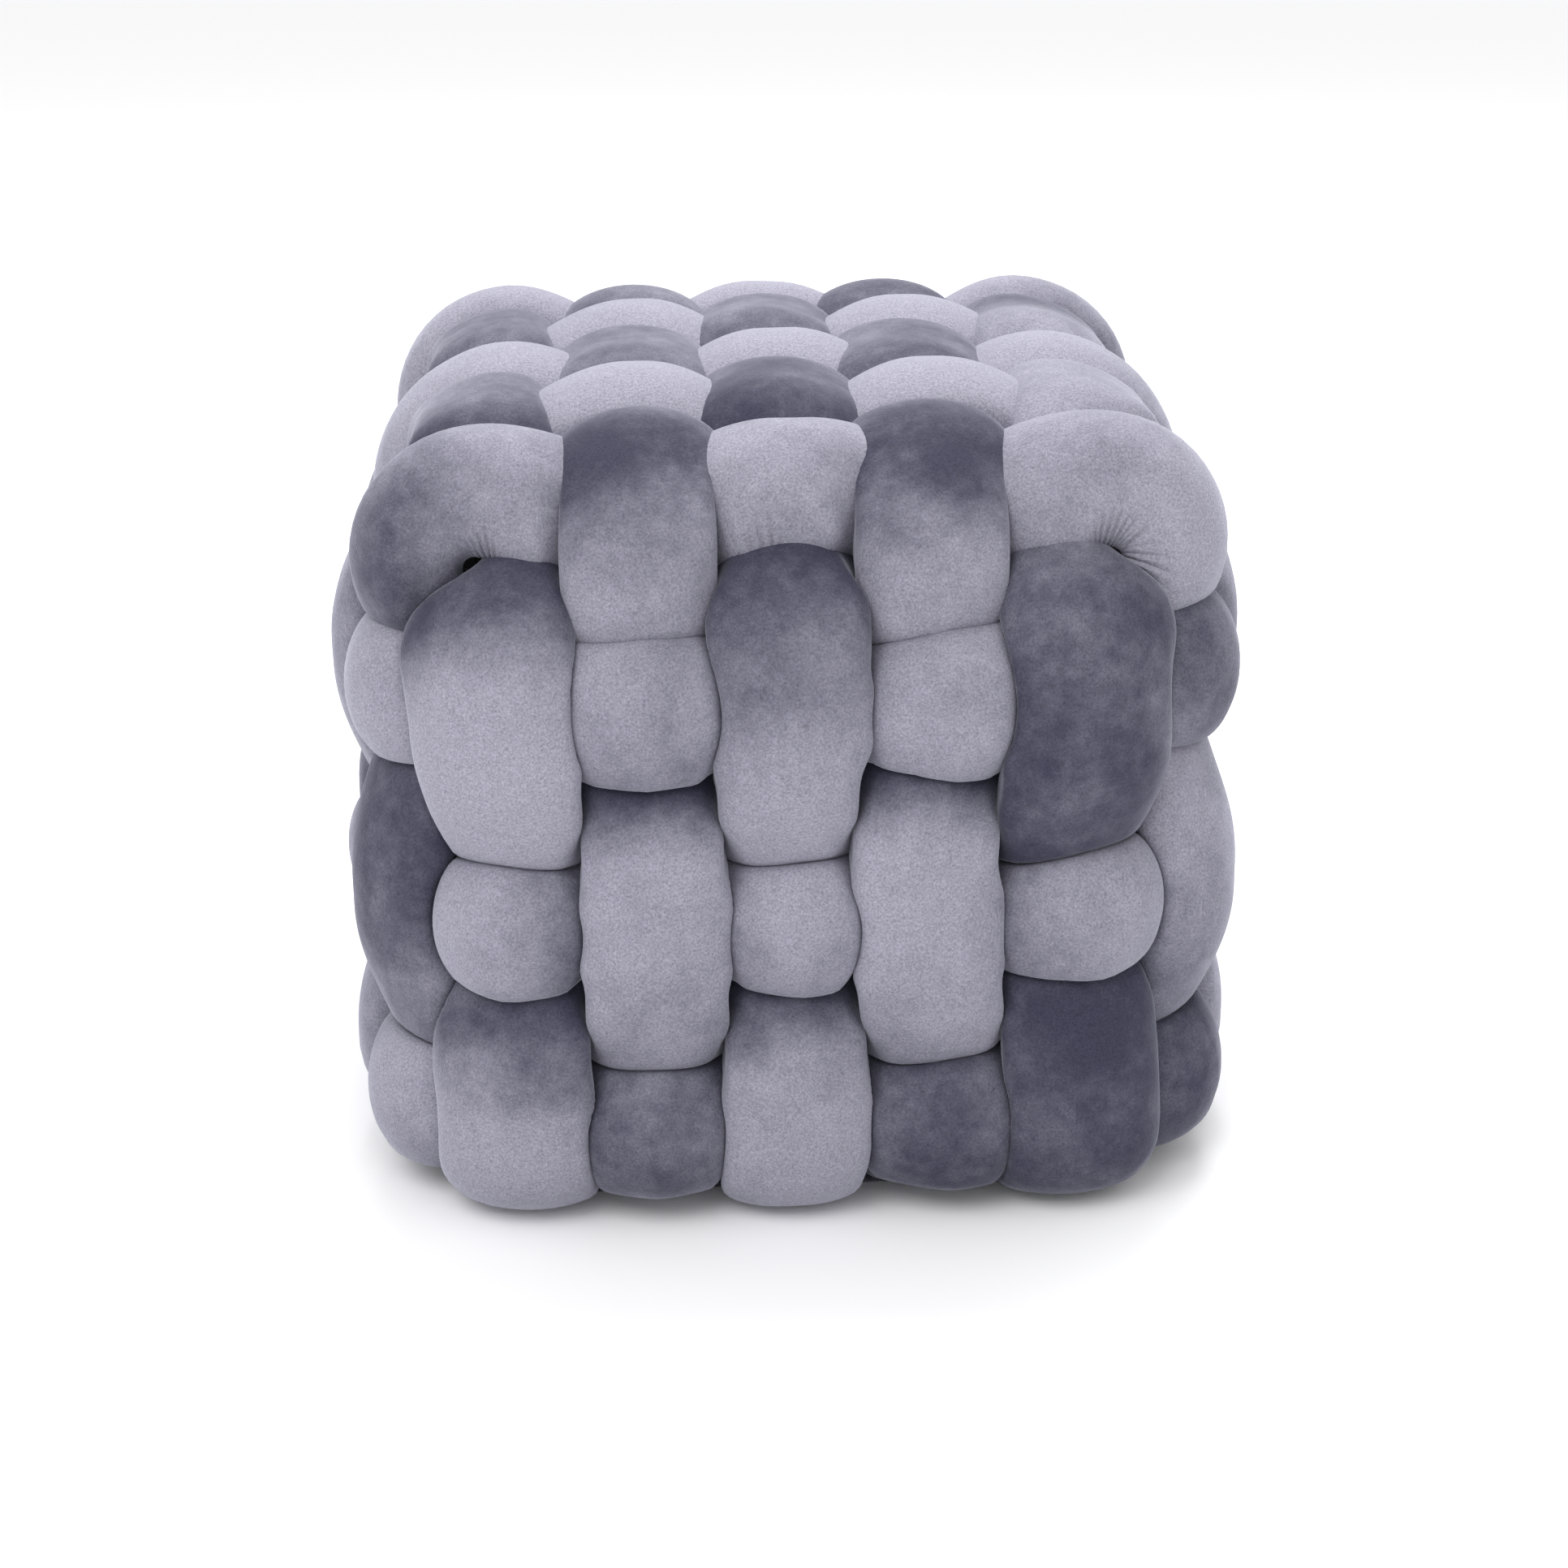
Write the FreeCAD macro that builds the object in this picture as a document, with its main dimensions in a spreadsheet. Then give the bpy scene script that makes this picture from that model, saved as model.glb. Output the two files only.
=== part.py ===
import FreeCAD, Part
import math
import os

# Woven pouf: ten straps and three rings of stuffed velvet tube laid over a foam core.
# Millimetres. Origin under the middle of the base, +Z up, the front faces -Y.
os.makedirs("parts", exist_ok=True)

doc = FreeCAD.newDocument("woven_pouf")
Vec = FreeCAD.Vector

SIZES = [
    ("pitch_x", 68.0, "spacing of the long straps, left to right"),
    ("pitch_y", 74.0, "spacing of the cross straps, front to back"),
    ("tube_width", 52.0, "width of a pressed tube"),
    ("tube_height", 25.0, "thickness of a pressed tube"),
    ("lay_gap", 0.5, "gap between two tubes at a crossing"),
    ("half_size", 228.5, "centre to the outermost tube face, on all four sides"),
    ("total_height", 406.0, "floor to the top of the highest tube"),
    ("ring_top_z", 264.0, "centre height of the top ring"),
    ("ring_middle_z", 154.0, "centre height of the middle ring"),
    ("ring_bottom_z", 60.0, "centre height of the bottom ring"),
    ("crossing_flat", 46.0, "straight run across a crossing, before rounding"),
    ("crossing_radius", 31.0, "bend radius beside a crossing"),
    ("slope_ease", 10.0, "how far inside a ring's half width the long slopes begin"),
    ("corner_radius", 34.0, "bend radius of a strap over the top edge"),
    ("ring_corner", 30.0, "bend radius of a ring round an upright edge"),
    ("tuck_radius", 25.5, "bend radius under the bottom edge"),
    ("tuck_end", 163.0, "centre to the sewn end of a strap"),
    ("fabric", 1.2, "thickness of the velvet"),
    ("fit", 0.1, "hairline between a cover and its filling"),
    ("panel_half", 185.0, "half the side of the base panel"),
    ("panel_thick", 2.4, "thickness of the base panel at its hem"),
    ("hem_width", 16.0, "width of the folded hem"),
    ("hem_step", 0.8, "how far the hem stands proud"),
    ("panel_corner", 18.0, "corner radius of the base panel"),
    ("core_half", 175.0, "half the side of the foam core"),
    ("core_top", 353.0, "height of the top of the foam core"),
    ("core_foot_half", 159.5, "half the side of the foot of the core"),
    ("core_foot_z", 44.0, "height of the top of that foot"),
    ("core_bottom", 3.6, "height of the underside of the foam core"),
    ("core_corner", 30.0, "radius of the core's upright edges"),
    ("core_edge", 24.0, "radius of the core's top edges"),
    ("lining", 0.8, "thickness of the core lining"),
    ("stitch_length", 6.0, "length of one stitch"),
    ("stitch_pitch", 9.0, "distance between stitches"),
    ("thread", 1.0, "thickness of the thread"),
]

sheet = doc.addObject("Spreadsheet::Sheet", "Sizes")
for row, (alias, number, note) in enumerate(SIZES, start=1):
    sheet.set(f"A{row}", alias)
    sheet.set(f"B{row}", str(number))
    sheet.set(f"C{row}", note)
    sheet.setAlias(f"B{row}", alias)
doc.recompute()
size = {alias: float(getattr(sheet, alias)) for alias, _, _ in SIZES}

LAY = size["tube_height"] + size["lay_gap"]
TOP_OVER = size["total_height"] - size["tube_height"] / 2
TOP_UNDER = TOP_OVER - LAY
SIDE_OVER = size["half_size"] - size["tube_height"] / 2
SIDE_UNDER = SIDE_OVER - LAY
TUCK_Z = size["panel_thick"] + size["tube_height"] / 2 + 0.1


def rounded_edges(points, radii, closed):
    """Edges of a polygon in the XY plane with each corner turned into a tangent arc."""
    corners = [Vec(x, y, 0) for x, y in points]
    last = len(corners) - 1
    edges = []
    here = corners[0]
    for i in range(1, last + (1 if closed else 0)):
        ahead_point = corners[(i + 1) % len(corners)]
        back = (corners[i - 1] - corners[i]).normalize()
        ahead = (ahead_point - corners[i]).normalize()
        turn = math.pi - back.getAngle(ahead)
        if turn < 1e-4:
            continue
        reach = radii[i] * math.tan(turn / 2)
        bisector = (back + ahead).normalize()
        middle = corners[i] + bisector * (radii[i] / math.cos(turn / 2) - radii[i])
        start = corners[i] + back * reach
        end = corners[i] + ahead * reach
        edges.append(Part.LineSegment(here, start))
        edges.append(Part.Arc(start, middle, end))
        here = end
    edges.append(Part.LineSegment(here, corners[0] if closed else corners[-1]))
    return edges


def strap_path(edge_over, pitch, shorten):
    """A strap seen from the side, from one sewn end over the top to the other."""
    half = size["crossing_flat"] / 2
    ease = half - size["slope_ease"]
    top_a, top_b = (TOP_OVER, TOP_UNDER) if edge_over else (TOP_UNDER, TOP_OVER)
    side_a, side_b = (SIDE_UNDER, SIDE_OVER) if edge_over else (SIDE_OVER, SIDE_UNDER)
    points = [
        (half, top_a),
        (pitch - half, top_b),
        (pitch + half, top_b),
        (2 * pitch - half, top_a),
        (side_a, top_a),
        (side_a, size["ring_top_z"] - ease),
        (side_b, size["ring_middle_z"] + ease),
        (side_b, size["ring_middle_z"] - ease),
        (side_a, size["ring_bottom_z"] + ease),
        (side_a, TUCK_Z),
        (size["tuck_end"] + shorten, TUCK_Z),
    ]
    gentle = size["corner_radius"]
    radii = [size["crossing_radius"]] * 4 + [gentle] * 5 + [size["tuck_radius"], 0]
    mirrored = [(-x, z) for x, z in reversed(points)]
    return rounded_edges(mirrored + points, radii[::-1] + radii, False)


def ring_path(front_over):
    """A ring seen from above; front_over says if it lies over the middle strap in front."""
    half = size["crossing_flat"] / 2
    px, py = size["pitch_x"], size["pitch_y"]
    bend = size["crossing_radius"]
    corner = size["ring_corner"]
    front_a, front_b = (SIDE_OVER, SIDE_UNDER) if front_over else (SIDE_UNDER, SIDE_OVER)
    side_a, side_b = front_b, front_a
    right_half = [
        (0, -front_a, bend),
        (half, -front_a, bend),
        (px - half, -front_b, bend),
        (px + half, -front_b, bend),
        (2 * px - half, -front_a, bend),
        (side_a, -front_a, corner),
        (side_a, half - 2 * py, bend),
        (side_b, -half - py, bend),
        (side_b, half - py, bend),
        (side_a, -half, bend),
    ]
    half_turn = right_half + [(x, -y, r) for x, y, r in reversed(right_half[1:])]
    loop = half_turn + [(-x, -y, r) for x, y, r in half_turn]
    return rounded_edges([(x, y) for x, y, _ in loop], [r for _, _, r in loop], True)


def add_spine(name, edges, upright):
    spine = doc.addObject("Sketcher::SketchObject", name)
    spine.addGeometry(edges, False)
    if upright:
        spine.Placement.Rotation = FreeCAD.Rotation(Vec(0, 1, 0), Vec(0, 0, 1), Vec(1, 0, 0), "XYZ")
    return spine


def add_tube(name, spine, start, turn, inset):
    """A tube of elliptical section along a spine, drawn inset from the full section."""
    section = doc.addObject("Part::Ellipse", name + "_section")
    section.setExpression("MajorRadius", f"Sizes.tube_width / 2 - ({inset})")
    section.setExpression("MinorRadius", f"Sizes.tube_height / 2 - ({inset})")
    section.Placement = FreeCAD.Placement(start, turn)
    tube = doc.addObject("Part::Sweep", name)
    tube.Sections = [section]
    tube.Spine = (spine, [])
    tube.Solid = True
    tube.Frenet = False
    return tube


WALL = "Sizes.fabric"
WALL_AND_FIT = "Sizes.fabric + Sizes.fit"
FLAT = FreeCAD.Rotation(Vec(1, 0, 0), 90)
ON_EDGE = FreeCAD.Rotation(Vec(0, 0, 1), Vec(0, 1, 0), Vec(-1, 0, 0), "XYZ")


def add_strap_pattern(name, edge_over, pitch):
    """The outside, the hollow and the filling of one strap pattern."""
    tubes = []
    for part, inset, shorten in (
        ("outside", "0", 0.0),
        ("hollow", WALL, size["fabric"]),
        ("filling", WALL_AND_FIT, size["fabric"] + size["fit"]),
    ):
        spine = add_spine(f"{name}_{part}_path", strap_path(edge_over, pitch, shorten), True)
        start = Vec(0, -size["tuck_end"] - shorten, TUCK_Z)
        tubes.append(add_tube(f"{name}_{part}", spine, start, FLAT, inset))
    return tubes


def add_ring_pattern(name, front_over):
    spine = add_spine(f"{name}_path", ring_path(front_over), False)
    start = Vec(0, -(SIDE_OVER if front_over else SIDE_UNDER), 0)
    parts = (("outside", "0"), ("hollow", WALL), ("filling", WALL_AND_FIT))
    return [add_tube(f"{name}_{part}", spine, start, ON_EDGE, inset) for part, inset in parts]


def add_cover(name, outside, hollow):
    cover = doc.addObject("Part::Cut", name)
    cover.Base = outside
    cover.Tool = hollow
    return cover


def add_filling(name, filling):
    body = doc.addObject("Part::Compound", name)
    body.Links = [filling]
    return body


nodes = []

# Front-to-back straps lie in planes of constant X, side-to-side straps in planes of constant Y.
for family, quarter_turns, axis, spacing, crossed in (
    ("long_strap", 0, "x", "pitch_x", "pitch_y"),
    ("cross_strap", 1, "y", "pitch_y", "pitch_x"),
):
    patterns = {
        over: add_strap_pattern(f"{family}_{'over' if over else 'under'}", over, size[crossed])
        for over in (False, True)
    }
    for number in range(1, 6):
        outside, hollow, filling = patterns[(number + quarter_turns) % 2 == 0]
        cover = add_cover(f"{family}_{number}_cover", outside, hollow)
        stuffing = add_filling(f"{family}_{number}_filling", filling)
        for body in (cover, stuffing):
            body.Placement.Rotation = FreeCAD.Rotation(Vec(0, 0, 1), 90 * quarter_turns)
            body.setExpression(f"Placement.Base.{axis}", f"Sizes.{spacing} * {number - 3}")
            nodes.append(body)

ring_patterns = {over: add_ring_pattern("ring_over" if over else "ring_under", over) for over in (False, True)}
for level, front_over in (("top", False), ("middle", True), ("bottom", False)):
    outside, hollow, filling = ring_patterns[front_over]
    cover = add_cover(f"ring_{level}_cover", outside, hollow)
    stuffing = add_filling(f"ring_{level}_filling", filling)
    for body in (cover, stuffing):
        body.setExpression("Placement.Base.z", f"Sizes.ring_{level}_z")
        nodes.append(body)


def add_box(name, half, low, high):
    """A square block about the Z axis; the three sizes are spreadsheet formulas."""
    box = doc.addObject("Part::Box", name)
    box.setExpression("Length", f"2 * ({half})")
    box.setExpression("Width", f"2 * ({half})")
    box.setExpression("Height", f"({high}) - ({low})")
    box.setExpression("Placement.Base.x", f"-({half})")
    box.setExpression("Placement.Base.y", f"-({half})")
    box.setExpression("Placement.Base.z", low)
    return box


def is_upright(edge):
    return edge.BoundBox.ZLength > 1 and edge.BoundBox.XLength < 1e-6 and edge.BoundBox.YLength < 1e-6


def add_rounding(name, base, wanted, radius):
    doc.recompute()
    rounding = doc.addObject("Part::Fillet", name)
    rounding.Base = base
    rounding.Edges = [(i, radius, radius) for i, e in enumerate(base.Shape.Edges, start=1) if wanted(e)]
    return rounding


def add_core(name, grow):
    """The block and its narrower foot, grown by a thickness on every side."""
    block = add_box(name + "_block", f"Sizes.core_half + {grow}", f"Sizes.core_foot_z - {grow}",
                    f"Sizes.core_top + {grow}")
    foot = add_box(name + "_foot", f"Sizes.core_foot_half + {grow}", f"Sizes.core_bottom - {grow}",
                   f"Sizes.core_foot_z + {grow} + 1")
    corners = add_rounding(name + "_corners", block, is_upright, size["core_corner"])
    top = size["core_top"] - 1
    rounded = add_rounding(name + "_edges", corners, lambda e: e.BoundBox.ZMin > top, size["core_edge"])
    foot_corners = add_rounding(name + "_foot_corners", foot, is_upright, size["core_corner"] / 2)
    body = doc.addObject("Part::MultiFuse", name)
    body.Shapes = [rounded, foot_corners]
    return body


foam = add_core("core_foam", "0")
lining_hollow = add_core("lining_hollow", "Sizes.fit")
lining_outside = add_core("lining_outside", "Sizes.lining")
lining = add_cover("core_lining", lining_outside, lining_hollow)
nodes += [foam, lining]

# Base panel: a square of canvas with its hem folded under and a sunk line of stitches.
PANEL_HALF = "Sizes.panel_half"
sheet_low = "Sizes.hem_step"
panel_plate = add_box("panel_plate", PANEL_HALF, "0", "Sizes.panel_thick")
panel_round = add_rounding("panel_round", panel_plate, is_upright, size["panel_corner"])
panel_recess = add_box("panel_recess", f"{PANEL_HALF} - Sizes.hem_width", "-1", sheet_low)
groove_out = add_box("groove_outside", f"{PANEL_HALF} - Sizes.hem_width / 2 + Sizes.thread", "-1", sheet_low)
groove_in = add_box("groove_inside", f"{PANEL_HALF} - Sizes.hem_width / 2 - Sizes.thread", "-2", "Sizes.hem_step + 1")
groove = add_cover("stitch_groove", groove_out, groove_in)
hemmed = add_cover("hemmed_panel", panel_round, panel_recess)
panel = add_cover("base_panel", hemmed, groove)
nodes.append(panel)


def stitch(centre, along):
    """One stitch: a short bar of thread with its length along the given axis."""
    spans = [size["thread"] * 0.7] * 3
    spans["xyz".index(along)] = size["stitch_length"]
    corner = Vec(*centre) - Vec(*spans) * 0.5
    return Part.makeBox(spans[0], spans[1], spans[2], corner)


def add_stitches(name, stitches):
    body = doc.addObject("Part::Feature", name)
    body.Shape = Part.makeCompound(stitches)
    return body


hem_line = size["panel_half"] - size["hem_width"] / 2
reach = int((hem_line - size["panel_corner"]) // size["stitch_pitch"])
offsets = [size["stitch_pitch"] * i for i in range(-reach, reach + 1)]
hem_stitches = []
for side in (-1, 1):
    height = size["thread"] * 0.35 + 0.05
    hem_stitches += [stitch((t, side * hem_line, height), "x") for t in offsets]
    hem_stitches += [stitch((side * hem_line, t, height), "y") for t in offsets]
nodes.append(add_stitches("base_stitches", hem_stitches))

# Rows of stitches that close the strap ends, and the joins of the rings against the core.
end_stitches = []
closing = size["tuck_end"] - size["thread"] * 0.35
for strap in range(-2, 3):
    for side in (-1, 1):
        for step in (-2, -1, 0, 1, 2):
            offset = step * size["stitch_pitch"]
            x, y = strap * size["pitch_x"] + offset, strap * size["pitch_y"] + offset
            end_stitches.append(stitch((x, side * closing, TUCK_Z), "x"))
            end_stitches.append(stitch((side * closing, y, TUCK_Z), "y"))
nodes.append(add_stitches("strap_end_stitches", end_stitches))

join_stitches = []
join_line = SIDE_UNDER - size["tube_height"] / 2 - size["thread"] * 0.35
for level, across in (("ring_top_z", 0.0), ("ring_middle_z", size["pitch_x"]), ("ring_bottom_z", 0.0)):
    for step in (-0.5, 0.5):
        rise = size[level] + step * size["stitch_pitch"]
        join_stitches.append(stitch((across, join_line, rise), "z"))
nodes.append(add_stitches("ring_join_stitches", join_stitches))

doc.recompute()

for body in doc.Objects:
    if "Invalid" in body.State or "Error" in body.State:
        raise RuntimeError(f"{body.Name} did not compute: {body.State}")
for body in nodes:
    body.Label = body.Name
    if body.Shape.isNull() or not body.Shape.isValid():
        raise RuntimeError(f"{body.Name} has no valid shape")
    if not body.Shape.Solids:
        raise RuntimeError(f"{body.Name} has no solid")
    body.Shape.exportStep(os.path.join("parts", body.Name + ".step"))
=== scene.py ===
import math

import bpy
import numpy as np
from mathutils import Matrix, Vector


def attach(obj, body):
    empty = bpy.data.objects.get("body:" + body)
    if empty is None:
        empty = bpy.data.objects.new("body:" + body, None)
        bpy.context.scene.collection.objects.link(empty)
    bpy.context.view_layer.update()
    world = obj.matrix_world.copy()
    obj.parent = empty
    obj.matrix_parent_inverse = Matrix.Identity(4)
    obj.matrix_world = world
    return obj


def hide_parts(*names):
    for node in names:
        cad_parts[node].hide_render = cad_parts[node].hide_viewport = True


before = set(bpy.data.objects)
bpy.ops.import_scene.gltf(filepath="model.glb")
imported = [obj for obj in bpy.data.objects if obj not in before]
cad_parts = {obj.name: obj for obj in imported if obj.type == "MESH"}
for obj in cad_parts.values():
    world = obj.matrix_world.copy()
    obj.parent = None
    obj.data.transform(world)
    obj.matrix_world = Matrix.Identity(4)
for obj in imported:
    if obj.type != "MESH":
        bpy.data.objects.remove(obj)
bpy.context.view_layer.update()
scene = bpy.context.scene

# Shaping is done in millimetres and turned into metres when a mesh is made.
# x runs to the right, y to the back and z up, from the middle of the underside.
MM = 0.001

# The surface that the middle of the weave follows.
HALF_X, HALF_Y = 186.0, 191.0    # from the centre, sideways and frontways
TOP = 358.0                      # height on top
LONG_LOWER = 2.0                 # the long straps lie this much lower on top
SHOULDER_FRONT = 94.0            # roundness of the top edge at the front
SHOULDER_BACK = 62.0             # the same at the back
SHOULDER_SIDE = 70.0             # the same at the left and right
UPRIGHT_EDGE = 80.0              # roundness of the four upright edges
CROSS_BEND = 33.0                # bend of the first and last cross straps over the side edges
TUCK_RADIUS = 26.0               # bend of a strap's end under the body
TUCK_Z, TUCK_END = 22.0, 158.0   # height of the strap's tucked end, and its distance from the centre
TURN_FROM, TURN_OVER = 250.0, 110.0        # where a strap starts to turn over the top, and its rise
UPRIGHT_FROM, UPRIGHT_OVER = 15.0, 70.0    # where its tilt starts above the floor, and its rise

# Where the tubes lie on that surface.
LONG_X = (-135.0, -71.0, -5.0, 58.0, 128.0)       # long straps on the front and back
LONG_X_TOP = (-148.0, -73.0, -3.0, 64.0, 143.0)   # and on top
CROSS_Y = (-149.0, -83.0, -4.0, 78.0, 156.0)
RING_Z = {"top": 261.0, "middle": 154.0, "bottom": 49.0}
LEVEL = 14.0                     # how far a tube's centre lies above or below the surface
LONG_HOLD, CROSS_HOLD, RING_HOLD = 0.24, 0.06, -0.12   # how long a tube stays up past a crossing
LOW_HOLD = 0.4                   # how long it stays down, as a share of that
WANDER, UNEVEN = 1.6, 0.02       # how far a tube strays sideways and varies in girth
FACE_DEPTH = 25.0                # a strap's upright part lies within this of its farthest point
RING_FACE = 150.0                # a ring's flat stretches lie farther out than this
TOO_FAR = 1e3                    # added to the distance of a point that isn't allowed

# A tube's section.
STRAP_HALF_WIDTH, RING_HALF_WIDTH = 44.0, 39.0
EDGE_HALF_WIDTH = 40.0           # the first and last cross straps
THICK_OUT, THICK_IN = 27.0, 18.0
SECTION_POWER = 2.0
INWARD = 1.7          # how far inward a tube may reach, in radii of its bend
LEAST_TURN = 0.02     # turn in one step below which a line counts as straight
TOUCH = 0.03          # how far the soft surfaces may sink into each other, as a share of the radius
RIPPLE = 0.012        # unevenness of the surface, as a share of the radius
SOFTEN = 0.8          # blur of the pressed shape, in grid points
WALL_GAP = 1.0        # parallel straps may pass the middle between them by this
WALL_GIVE = 9.0       # and by this much more where the neighbour dips

# The core, and the limits of the space that the tubes may fill.
CORE_HALF, CORE_TOP, CORE_ROUND = 172.0, 344.0, 62.0
CORE_FOOT = 42.0      # below this height the core narrows to its foot
FLOOR_GAP = 3.0       # the tubes stay this far above the floor
LINING_GAP = 1.0      # the lining lies this far inside the surface that the tubes press on
NOWHERE = 9.0         # a fullness or a depth that stands for nowhere near

# How finely it is all worked out.
CELL = 3.0            # spacing of the look-up grid
GRID_START, GRID_SPAN = -270.0, 560.0
CHUNK = 8000          # grid points handled at a time
STEP = 3.0            # spacing of the sections along a tube
ROUND = 56            # points round a section
ANGLES = np.linspace(0, 2 * math.pi, ROUND, endpoint=False)
SHARES = np.linspace(0.06, 1.0, 26)    # shares of the free radius that are tried


def smooth(t):
    """A ramp from 0 to 1 that is eased at both ends."""
    t = np.clip(t, 0.0, 1.0)
    return t * t * (3 - 2 * t)


def rounded(points, radii, step=1.0):
    """Points along a polygon whose corners are arcs."""
    out = [np.array(points[0], float)]
    for i in range(1, len(points) - 1):
        a, b, c = (np.array(points[k], float) for k in (i - 1, i, i + 1))
        back, ahead = (a - b) / np.linalg.norm(a - b), (c - b) / np.linalg.norm(c - b)
        turn = math.pi - math.acos(float(np.clip(back @ ahead, -1, 1)))
        reach = radii[i] * math.tan(turn / 2)
        middle = b + (back + ahead) / np.linalg.norm(back + ahead) * radii[i] / math.cos(turn / 2)
        start, end = b + back * reach - middle, b + ahead * reach - middle
        for t in np.linspace(0, 1, max(3, int(radii[i] * turn / step))):
            blend = start * math.sin((1 - t) * turn) + end * math.sin(t * turn)
            out.append(middle + blend / math.sin(turn))
    out.append(np.array(points[-1], float))
    return np.array(out)


def lengths_along(line):
    """Distance from the start of a line to each of its points."""
    steps = np.linalg.norm(np.diff(line, axis=0), axis=1)
    return np.concatenate([[0.0], np.cumsum(steps)])


def points_at(line, places):
    """Points at these distances along a line."""
    along = lengths_along(line)
    return np.stack([np.interp(places, along, line[:, k]) for k in range(2)], axis=1)


def resample(line, step):
    """Evenly spaced points along a line, and their distances from its start."""
    length = lengths_along(line)[-1]
    places = np.linspace(0, length, int(round(length / step)) + 1)
    return points_at(line, places), places


def level_along(at, stations, hold):
    """Levels that ease from one crossing to the next and hold to the upper one for a while."""
    stations = sorted(stations)
    level = np.full(len(at), stations[0][1], float)
    for (s0, l0), (s1, l1) in zip(stations, stations[1:]):
        inside = (at >= s0) & (at <= s1)
        share = (at[inside] - s0) / (s1 - s0)
        share = share if l0 > l1 else 1 - share
        fall = smooth((share - hold) / (1 - LOW_HOLD * hold - hold))
        level[inside] = max(l0, l1) - abs(l1 - l0) * fall
    level[at > stations[-1][0]] = stations[-1][1]
    return level


def directions(line, closed):
    """Unit vectors along a line and outward from it."""
    if closed:
        ahead = np.roll(line, -1, 0) - np.roll(line, 1, 0)
    else:
        ahead = np.gradient(line, axis=0)
    ahead = ahead / np.linalg.norm(ahead, axis=1)[:, None]
    return ahead, np.stack([-ahead[:, 1], ahead[:, 0]], axis=1)


def shoulder(offset, half_size, radius):
    """How far a rounded edge falls away at an offset from the middle, and its slope there."""
    past = max(0.0, abs(offset) - (half_size - radius))
    angle = math.asin(past / radius)
    return radius * (1 - math.cos(angle)), math.degrees(angle)


def nearest_station(middle, at, value, axis, on_side):
    """Arc length where the line meets a coordinate, either on its side or on its top."""
    side = middle[:, 0] > middle[:, 0].max() - FACE_DEPTH
    allowed = side if on_side else middle[:, 1] > TURN_FROM
    return at[np.argmin(np.abs(middle[:, axis] - value) + np.where(allowed, 0, TOO_FAR))]


def half_strap(radius, hold, edge_over, half_size, top, crossings, tilts, laterals):
    """Line, sideways offset, tilt and level of a strap from the middle of the top to one end.

    The tilts, in degrees, and the sideways places are each given on top and on the side.
    """
    tilt_top, tilt_side = tilts
    lateral_top, lateral = laterals
    corners = [(0.0, top), (half_size, top), (half_size, TUCK_Z), (TUCK_END, TUCK_Z)]
    middle, at = resample(rounded(corners, [0, radius, TUCK_RADIUS, 0]), STEP)
    signs = (1, -1, 1) if edge_over else (-1, 1, -1)
    side = -1 if edge_over else 1
    stations = [(nearest_station(middle, at, u, 0, False), s) for u, s in zip(crossings, signs)]
    for name, sign in (("top", side), ("middle", -side), ("bottom", side)):
        stations.append((nearest_station(middle, at, RING_Z[name], 1, True), sign))
    stations.append((at[-1], 0.0))
    lift = level_along(at, stations, hold)
    level = LEVEL * lift
    _, out = directions(middle, False)
    rise = smooth((middle[:, 1] - TURN_FROM) / TURN_OVER)
    upright = smooth((middle[:, 1] - UPRIGHT_FROM) / UPRIGHT_OVER)
    tilt = np.radians(tilt_side + (tilt_top - tilt_side) * rise) * upright * np.sign(lateral)
    half = middle + out * (level * np.cos(tilt))[:, None]
    across = lateral + (lateral_top - lateral) * rise + np.sin(tilt) * level
    return half, across, tilt, lift


def strap(radii, *facts):
    """A whole strap, whose first and last bends over the top edge have these radii."""
    first, last = (half_strap(radius, *facts) for radius in radii)
    line = np.vstack([first[0][:0:-1] * [-1, 1], last[0]])
    return line, *(np.concatenate([a[:0:-1], b]) for a, b in zip(first[1:], last[1:]))


def ring(front_over):
    """A ring seen from above, from the middle of the front round by the left."""
    corners = [(0.0, -HALF_Y), (-HALF_X, -HALF_Y), (-HALF_X, 0.0)]
    middle, at = resample(rounded(corners, [0, UPRIGHT_EDGE, 0]), STEP)
    sign = 1 if front_over else -1
    stations = [(0.0, sign), (at[-1], -sign)]
    for x, over in ((LONG_X[1], -sign), (LONG_X[0], sign)):
        away = np.abs(middle[:, 0] - x) + np.where(middle[:, 1] > -RING_FACE, TOO_FAR, 0)
        stations.append((at[np.argmin(away)], over))
    for y, over in ((CROSS_Y[0], -sign), (CROSS_Y[1], sign)):
        away = np.abs(middle[:, 1] - y) + np.where(middle[:, 0] > -RING_FACE, TOO_FAR, 0)
        stations.append((at[np.argmin(away)], over))
    _, out = directions(middle, False)
    quarter = middle + out * (LEVEL * level_along(at, stations, RING_HOLD))[:, None]
    half = np.vstack([quarter, (quarter * [1, -1])[-2::-1]])
    return np.vstack([half, -half[1:-1]])


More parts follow.
